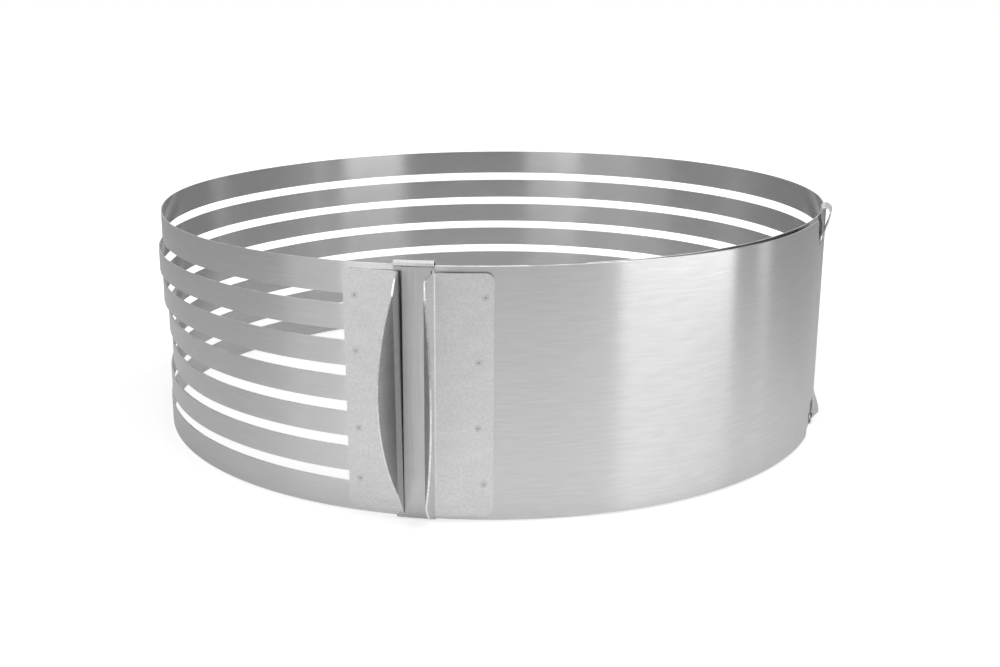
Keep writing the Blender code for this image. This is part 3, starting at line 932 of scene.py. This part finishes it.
def handle_columns(handle):
    """The handle seen from above, from the plate's outer edge to the knee, with end heights."""
    ring = sizes()
    _, _, inward = plate_frame(handle)
    fold = plate_fold(handle)
    plate_top = ring.height - PLATE_TOP_DROP
    flange_way = Vector((-handle.side * math.sin(FLANGE_LEAN), -math.cos(FLANGE_LEAN)))
    wing_turn = WING_SPLAY - FLANGE_LEAN
    wing_way = Vector((handle.side * math.sin(wing_turn), -math.cos(wing_turn)))
    knee = fold + flange_way * ring.flange_height
    columns = []
    for step in range(CORNER_STEPS + 1):
        turn = QUARTER * step / CORNER_STEPS
        inset, trim = PLATE_CORNER * (1 - math.cos(turn)), PLATE_CORNER * (1 - math.sin(turn))
        columns.append((fold - inward * (ring.plate_width - inset), PLATE_BOTTOM + trim, plate_top - trim))
    fold_bend = bend(fold - inward, fold, knee, BEND_RADIUS)
    knee_bend = bend(fold, knee, knee + wing_way, BEND_RADIUS)
    columns += [(point, PLATE_BOTTOM, plate_top) for point in fold_bend]
    for step in range(1, FLANGE_COLUMNS + 1):
        out = step / FLANGE_COLUMNS
        bottom = PLATE_BOTTOM + handle.trim.rise * out**handle.trim.rise_power
        top = plate_top - handle.trim.drop * out**handle.trim.drop_power
        columns.append((fold_bend[-1].lerp(knee_bend[0], out), bottom, top))
    return columns, knee_bend, wing_way


def make_handle(name, handle, node, body):
    """A flat plate on the sheet, a flange standing out beside the channel and a wing splayed off it."""
    columns, knee_bend, wing_way = handle_columns(handle)
    bottom, top = wing_span(handle)
    middle, half = (top + bottom) / 2, (top - bottom) / 2
    heights = [middle - half * math.cos(math.pi * row / WING_ROWS) for row in range(WING_ROWS + 1)]
    body_run = lengths_of([column[0] for column in columns])
    knee_run = [body_run[-1] + run for run in lengths_of(knee_bend)]
    wing_run = [knee_run[-1] + handle.depth * column / WING_COLUMNS for column in range(WING_COLUMNS + 1)]
    spots, knee_spots = dict(zip(body_run, columns)), dict(zip(knee_run, knee_bend))

    def body_level(run, row):
        _, low, high = spots[run]
        return (low, *heights, high)[int(row)]

    def place_body(run, row):
        return slanted(handle, spots[run][0], body_level(run, row))

    def place_knee(run, row):
        return slanted(handle, knee_spots[run], heights[int(row)])

    def place_wing(run, row):
        height = heights[int(row)]
        share = (run - wing_run[0]) / handle.depth
        return slanted(handle, knee_bend[-1] + wing_way * wing_width(handle, height) * share, height)

    def brush_body(run, row):
        return run, body_level(run, row)

    def brush_wing(run, row):
        return run, heights[int(row)]

    mesh = bmesh.new()
    rows = range(len(heights))
    add_patch(mesh, body_run, range(len(heights) + 2), place_body, brush=brush_body)
    add_patch(mesh, knee_run, rows, place_knee, brush=brush_wing)
    add_patch(mesh, wing_run, rows, place_wing, brush=brush_wing)
    add_sheet(name, mesh, sizes().handle_sheet, plate_steel(), node, body)


# Spot welds


def make_weld(node, outward, thickness, handle, body):
    """A low round mark, pressed by the electrode, in the place of its solid."""
    low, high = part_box(node)
    centre = (low + high) / 2 - RING_FOOT
    radius = sizes().weld_radius
    turns = [FULL_CIRCLE * side / WELD_SIDES for side in range(WELD_SIDES + 1)]
    sunk = -WELD_SINK / WELD_RISE
    rows = [*WELD_PROFILE_SHARES, (1.0, sunk), (0.0, sunk)]

    def place(turn, row):
        reach, rise = rows[int(row)]
        return Vector((radius * reach * math.cos(turn), radius * reach * math.sin(turn), WELD_RISE * rise))

    def brush_mark(turn, row):
        return turn, rows[int(row)][0]

    mesh = bmesh.new()
    add_patch(mesh, turns, range(len(rows)), place, brush=brush_mark)
    bmesh.ops.remove_doubles(mesh, verts=mesh.verts, dist=MERGE_DISTANCE)
    bmesh.ops.dissolve_degenerate(mesh, edges=mesh.edges, dist=MERGE_DISTANCE)
    bmesh.ops.recalc_face_normals(mesh, faces=mesh.faces)
    piece = link_piece(node + "_mark", mesh, [weld_steel()])
    piece.data.shade_smooth()
    piece.data.set_sharp_from_angle(angle=SHARP_ANGLE)
    way = Vector((*outward, 0))
    surface = centre + way * thickness / 2
    if handle:
        surface = slanted(handle, surface, surface.z)
    piece.rotation_euler = way.to_track_quat("Z", "Y").to_euler()
    piece.location = RING_FOOT + out_of_true(surface)
    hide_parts(node)
    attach(piece, body)


def make_welds():
    ring = sizes()
    for body, members in frame["record"]["behaviour"]["bodies"].items():
        for node in members:
            if "_weld_" not in node:
                continue
            if node.startswith("saddle"):
                make_weld(node, Vector((0, -1)), ring.sheet, None, body)
            else:
                handle = left_handle() if node.startswith("left") else right_handle()
                make_weld(node, plate_frame(handle)[1], ring.handle_sheet, handle, body)


# Studio

CAMERA_PITCH = math.radians(15.46)
LENS = 48.54
CLIP_START = 0.01
AXIS_PIXEL, MIDDLE_PIXEL, PICTURE_WIDTH = 492.5, 500.0, 1000.0

# The room that the steel mirrors, with the spans of the view's direction over which its ends fade
BACKDROP_LEVEL = 1.0
BACKDROP_SPAN = (0.72, 1.0)
DARK_FRONT_LEVEL = 0.16
DARK_FRONT_SPAN = (-0.95, -0.6)

# The floor's own light: to the eye a lift from near the ring outwards, and to the steel a painted pool of
# light out to its reach
FLOOR_HALF = 3.0
NEAR_FLOOR = 0.16
FAR_FLOOR = 0.34
FLOOR_LIFT = 0.62
MIRRORED_PAINTED_GLOW = 0.39
MIRRORED_PAINTED_GLOW_REACH = 0.68

# Painted shade in that pool of light: the steel mirrors less of it behind a line just in front of the axis,
# on the ring's shadow side, and inside the ring and round its foot
SHADOW_LINE_TURN = math.radians(15)
SHADOW_LINE_EDGE = (0.04, 0.15)
PAINTED_SHADOW_SHARE = 0.5
FOOT_SHADE = (0.133, 0.152)
PAINTED_SHADE_INSIDE_SHARE = 0.75

# The upright lights, each with its two ends on the studio's plan and its bottom and top
SOFTBOXES = (
    ("key", (0.366, -0.133), (0.66, -0.83), 0.03, 0.90),
    ("strip", (0.370, -0.030), (0.385, -0.064), 0.02, 0.90),
    ("fill", (-0.256, -0.303), (-0.21, -0.80), 0.05, 0.80),
    ("side", (-0.60, -0.30), (-0.45, -0.85), 0.05, 0.80),
)
TOP_LIGHT_PLACE = (0, -0.25, 1.3)
TOP_LIGHT_SIZE = (1.7, 1.0)


def on_plan(across, away, height=0.0):
    """A place in the studio, measured from the ring's axis as the camera sees it."""
    return Vector((HINGE.x, HINGE.y, height)) + FRONT_ACROSS * across + FRONT_AWAY * away


def make_camera():
    data = bpy.data.cameras.new("camera")
    data.lens = LENS
    data.shift_x = (MIDDLE_PIXEL - AXIS_PIXEL) / PICTURE_WIDTH
    data.clip_start = CLIP_START
    camera = link_object("camera", data)
    camera.location = on_plan(0, -studio().camera_distance, RING_FOOT.z + studio().camera_height)
    camera.rotation_euler = (QUARTER - CAMERA_PITCH, 0, FRONT_TURN)
    bpy.context.scene.camera = camera


def seen_directly(owner):
    """One where the camera looks, straight or through something clear, and zero elsewhere."""
    path = add_node(owner, "ShaderNodeLightPath")
    return combined(owner, path.outputs["Is Camera Ray"], path.outputs["Is Transmission Ray"], "MAXIMUM")


def make_world():
    """A white ground to the eye. The steel mirrors it behind the ring, and a grey room, darker in front."""
    world = bpy.data.worlds.new("studio")
    bpy.context.scene.world = world
    world.use_nodes = True
    room = world.node_tree.nodes["Background"]
    room.inputs["Color"].default_value = (1, 1, 1, 1)
    level = studio().room_level
    looking = add_node(world, "ShaderNodeTexCoord").outputs["Generated"]
    camera_way = on_plan(0, math.cos(CAMERA_PITCH), -math.sin(CAMERA_PITCH)) - on_plan(0, 0)
    away = vector_result(world, "DOT_PRODUCT", looking, camera_way)
    behind = mapped(world, away, 0.0, BACKDROP_LEVEL - level, *BACKDROP_SPAN)
    before = mapped(world, away, DARK_FRONT_LEVEL - level, 0.0, *DARK_FRONT_SPAN)
    mirrored = add_node(world, "ShaderNodeLightPath").outputs["Is Glossy Ray"]
    grey = shifted(world, combined(world, mirrored, combined(world, behind, before, "ADD")), level)
    wire(world, (combined(world, grey, seen_directly(world), "MAXIMUM"), room.inputs["Strength"]))


def make_floor():
    """A pale floor that is white paper to the eye, keeps the ring's shadow and shows in the steel, where it
    glows with a painted pool of light and painted shade.
    """
    mesh = bmesh.new()
    corners = ((-1, -1), (1, -1), (1, 1), (-1, 1))
    mesh.faces.new([mesh.verts.new((FLOOR_HALF * x, FLOOR_HALF * y, 0)) for x, y in corners])
    material, shader = new_material("studio_floor")
    shader.inputs["Base Color"].default_value = (*studio().floor_colour, 1)
    shader.inputs["Roughness"].default_value = 0.9
    shader.inputs["Specular IOR Level"].default_value = 0.0
    shader.inputs["Emission Color"].default_value = (1, 1, 1, 1)
    place = add_node(material, "ShaderNodeNewGeometry").outputs["Position"]
    away = vector_result(material, "DISTANCE", place, on_plan(0, 0))
    lift = mapped(material, away, FLOOR_LIFT, 1.0, NEAR_FLOOR, FAR_FLOOR)
    # Seen only in the steel: a painted pool of light on the floor, brightest near the ring and gone at its
    # reach
    painted_bounce_glow = mapped(material, away, MIRRORED_PAINTED_GLOW, 0.0, NEAR_FLOOR, MIRRORED_PAINTED_GLOW_REACH)
    # Painted shadow on the ring's shadow side: the glow is halved behind a line just in front of the axis
    from_axis = vector_result(material, "SUBTRACT", place, on_plan(0, 0))
    shadow_line_way = FRONT_ACROSS * math.sin(SHADOW_LINE_TURN) - FRONT_AWAY * math.cos(SHADOW_LINE_TURN)
    forward = vector_result(material, "DOT_PRODUCT", from_axis, shadow_line_way)
    painted_shadow_factor = mapped(material, forward, PAINTED_SHADOW_SHARE, 1.0, *SHADOW_LINE_EDGE)
    painted_bounce_glow = combined(material, painted_bounce_glow, painted_shadow_factor)
    # Painted shade inside the ring and round its foot
    painted_bounce_glow = combined(material, painted_bounce_glow, mapped(material, away, PAINTED_SHADE_INSIDE_SHARE, 1.0, *FOOT_SHADE))
    mirrored = add_node(material, "ShaderNodeLightPath").outputs["Is Glossy Ray"]
    seen = combined(material, seen_directly(material), lift)
    total = combined(material, seen, combined(material, mirrored, painted_bounce_glow), "ADD")
    wire(material, (total, shader.inputs["Emission Strength"]))
    floor = link_piece("studio_floor", mesh, [material])


def add_lamp(name, place, facing, width, height, level):
    """A rectangular light of this brightness, which the camera doesn't see."""
    data = bpy.data.lights.new(name, "AREA")
    data.shape = "RECTANGLE"
    data.size, data.size_y = width, height
    data.energy = level * math.pi * width * height
    lamp = link_object(name, data)
    lamp.location = place
    lamp.rotation_euler = facing.to_track_quat("-Z", "Y").to_euler()
    lamp.visible_camera = False


def add_softbox(name, left, right, bottom, top, level):
    """An upright light between two places on the studio's plan, facing the ring."""
    left, right = on_plan(*left), on_plan(*right)
    facing = Vector((0, 0, 1)).cross((right - left).normalized())
    middle = (left + right) / 2 + Vector((0, 0, (bottom + top) / 2))
    if facing.dot(on_plan(0, 0) - middle) < 0:
        facing = -facing
    add_lamp(name, middle, facing, (right - left).length, top - bottom, level)


def make_lights():
    levels = studio()
    for name, left, right, bottom, top in SOFTBOXES:
        add_softbox(name + "_softbox", left, right, bottom, top, getattr(levels, name + "_level"))
    down = Vector((0, 0, -1))
    add_lamp("top_softbox", on_plan(*TOP_LIGHT_PLACE), down, *TOP_LIGHT_SIZE, levels.top_level)


# Operators, one for each piece or group of like pieces


class MakeBand(bpy.types.Operator):
    """Builds the slotted band, nearly a full turn of thin sheet with six knife slots"""

    bl_idname = "cake_ring.make_band"
    bl_label = "Slotted Band"
    bl_options = {"REGISTER", "UNDO"}

    def execute(self, context):
        make_slotted_band()
        return {"FINISHED"}


class MakePanel(bpy.types.Operator):
    """Builds the plain outer panel with its two guide hooks"""

    bl_idname = "cake_ring.make_panel"
    bl_label = "Outer Panel"
    bl_options = {"REGISTER", "UNDO"}

    def execute(self, context):
        make_outer_panel()
        return {"FINISHED"}


class MakeSaddle(bpy.types.Operator):
    """Builds the saddle clip, rolled over both rims"""

    bl_idname = "cake_ring.make_saddle"
    bl_label = "Saddle Clip"
    bl_options = {"REGISTER", "UNDO"}

    def execute(self, context):
        make_saddle_clip()
        return {"FINISHED"}


class MakeHandles(bpy.types.Operator):
    """Builds the two finger handles, each a plate, a flange and a D-shaped wing"""

    bl_idname = "cake_ring.make_handles"
    bl_label = "Finger Handles"
    bl_options = {"REGISTER", "UNDO"}

    def execute(self, context):
        make_handle("left_handle_sheet", left_handle(), "left_handle", "band")
        make_handle("right_handle_sheet", right_handle(), "right_handle", "cover")
        return {"FINISHED"}


class MakeWelds(bpy.types.Operator):
    """Builds the marks of the spot welds on the handles and the saddle clip"""

    bl_idname = "cake_ring.make_welds"
    bl_label = "Spot Welds"
    bl_options = {"REGISTER", "UNDO"}

    def execute(self, context):
        make_welds()
        return {"FINISHED"}


class MakeStudio(bpy.types.Operator):
    """Builds the pale floor, the soft lights, the white ground and the camera"""

    bl_idname = "cake_ring.make_studio"
    bl_label = "Studio"
    bl_options = {"REGISTER", "UNDO"}

    def execute(self, context):
        make_camera()
        make_world()
        make_floor()
        make_lights()
        context.scene.view_settings.view_transform = "Standard"
        return {"FINISHED"}


MAKERS = (MakeStudio, MakeBand, MakePanel, MakeSaddle, MakeHandles, MakeWelds)


class CakeRingPanel(bpy.types.Panel):
    """Lists the ring's pieces, sizes and finishes, and its studio, in the sidebar"""

    bl_idname = "VIEW3D_PT_cake_ring"
    bl_label = "Adjustable Cake Ring"
    bl_space_type = "VIEW_3D"
    bl_region_type = "UI"
    bl_category = "Cake Ring"

    def draw(self, context):
        for maker in MAKERS:
            self.layout.operator(maker.bl_idname)
        for settings in (sizes(), finish(), studio()):
            box = self.layout.box()
            for name in settings.__annotations__:
                box.prop(settings, name)


SETTINGS = {
    "cake_ring_sizes": CakeRingSizes,
    "cake_ring_finish": CakeRingFinish,
    "cake_ring_studio": CakeRingStudio,
}


def register():
    for name, group in SETTINGS.items():
        bpy.utils.register_class(group)
        setattr(bpy.types.Scene, name, bpy.props.PointerProperty(type=group))
    for maker in MAKERS:
        bpy.utils.register_class(maker)
    bpy.utils.register_class(CakeRingPanel)


def unregister():
    bpy.utils.unregister_class(CakeRingPanel)
    for maker in reversed(MAKERS):
        bpy.utils.unregister_class(maker)
    for name, group in SETTINGS.items():
        delattr(bpy.types.Scene, name)
        bpy.utils.unregister_class(group)


def main():
    register()
    bpy.ops.cake_ring.make_studio()
    bpy.ops.cake_ring.make_band()
    bpy.ops.cake_ring.make_panel()
    bpy.ops.cake_ring.make_saddle()
    bpy.ops.cake_ring.make_handles()
    bpy.ops.cake_ring.make_welds()


if __name__ == "__main__":
    main()
